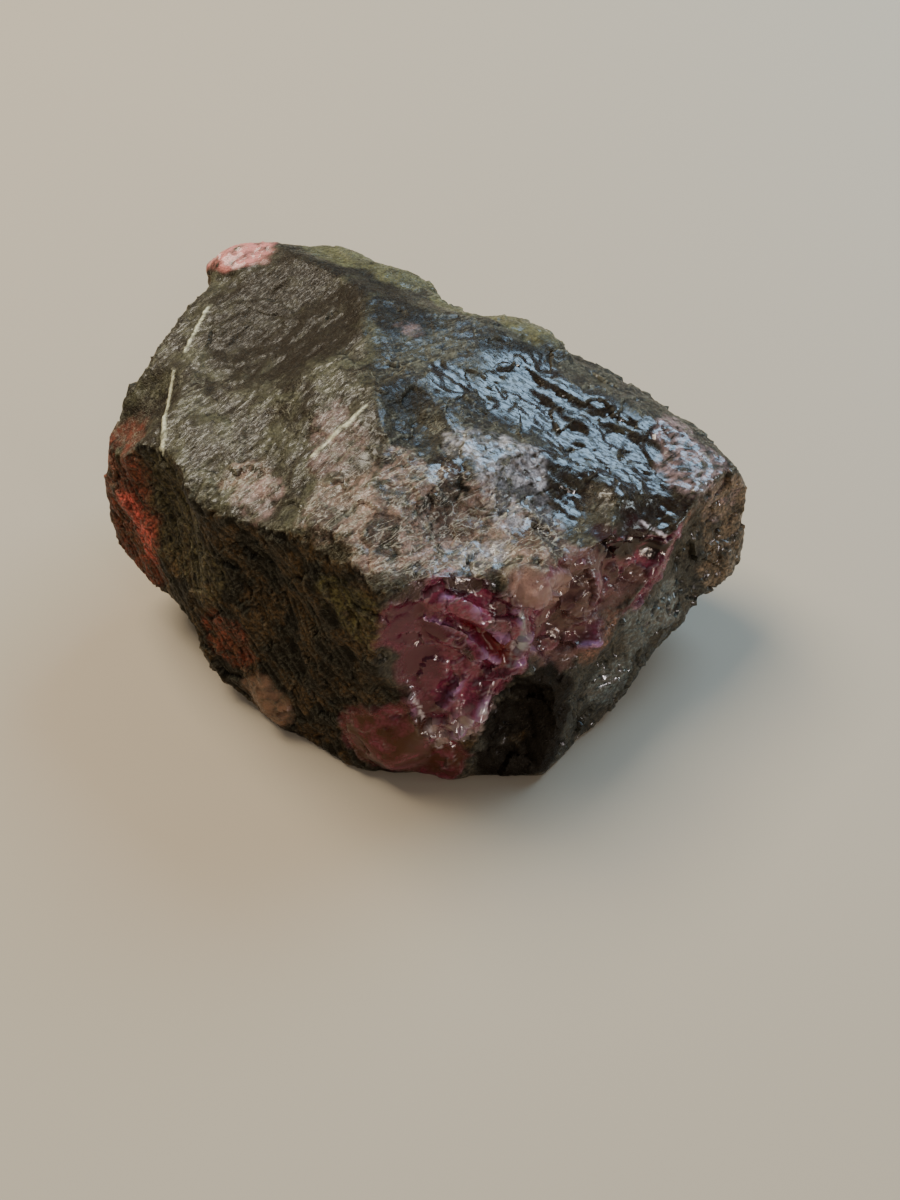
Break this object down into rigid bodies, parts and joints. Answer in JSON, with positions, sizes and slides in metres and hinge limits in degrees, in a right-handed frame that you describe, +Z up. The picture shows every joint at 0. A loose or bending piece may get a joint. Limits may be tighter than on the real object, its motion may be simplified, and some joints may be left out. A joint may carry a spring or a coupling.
{
  "type": "tourmaline crystal",
  "caption": "Rough broken piece of a dark tourmaline crystal, with a dull striated skin, glassy wine-red breaks and a flat break that it rests on.",
  "frame": {"origin": "middle of the bottom of the stone's box, on the surface that it rests on", "axes": "+Z up, +X along the stone towards its narrow end, -Y towards its glassy broken front"},
  "size_m": [0.062, 0.0456, 0.0299],
  "materials": {
    "tourmaline": "silky dark skin with glassy wine-red breaks"
  },
  "bodies": {
    "root": {"tourmaline_crystal": "tourmaline"}
  },
  "joints": []
}
